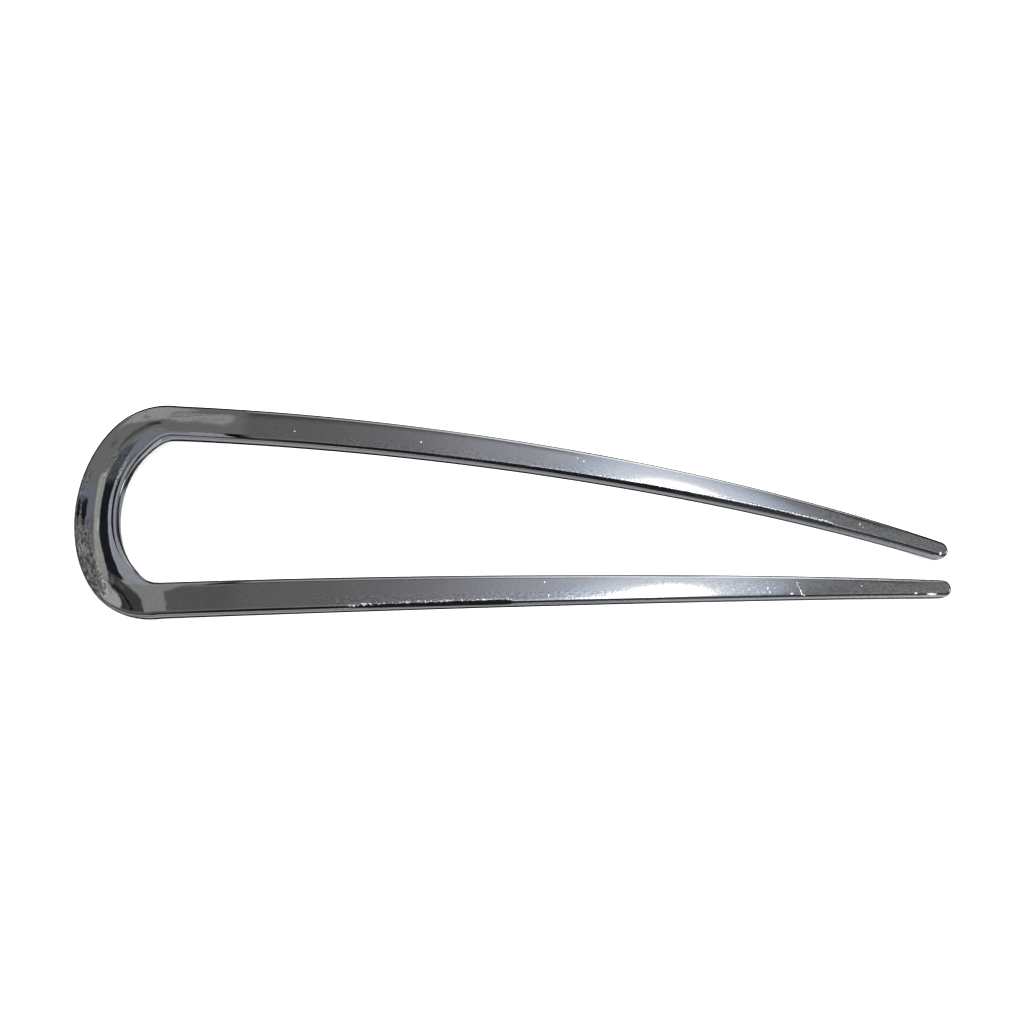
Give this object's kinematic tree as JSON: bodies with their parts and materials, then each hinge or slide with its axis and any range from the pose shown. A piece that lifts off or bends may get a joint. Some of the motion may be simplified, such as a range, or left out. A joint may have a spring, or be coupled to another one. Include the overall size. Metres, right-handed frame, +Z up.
{
  "type": "french hair pin",
  "caption": "One-piece U-shaped metal hair pin, bowed along its length, with two flat legs that taper to rounded tips and hold a twist or bun of hair.",
  "frame": {"origin": "under the middle of the pin, at the centre of its bounding box, on the surface that it rests on", "axes": "+X from the bend to the tips, +Y across the pin from one leg to the other, +Z up, the side to which the bow is arched"},
  "size_m": [0.14, 0.0336, 0.0119],
  "materials": {
    "dark_chrome": "polished and plated in dark chrome, with a mirror gloss"
  },
  "bodies": {
    "root": {"hair_pin": "dark_chrome"}
  },
  "joints": []
}
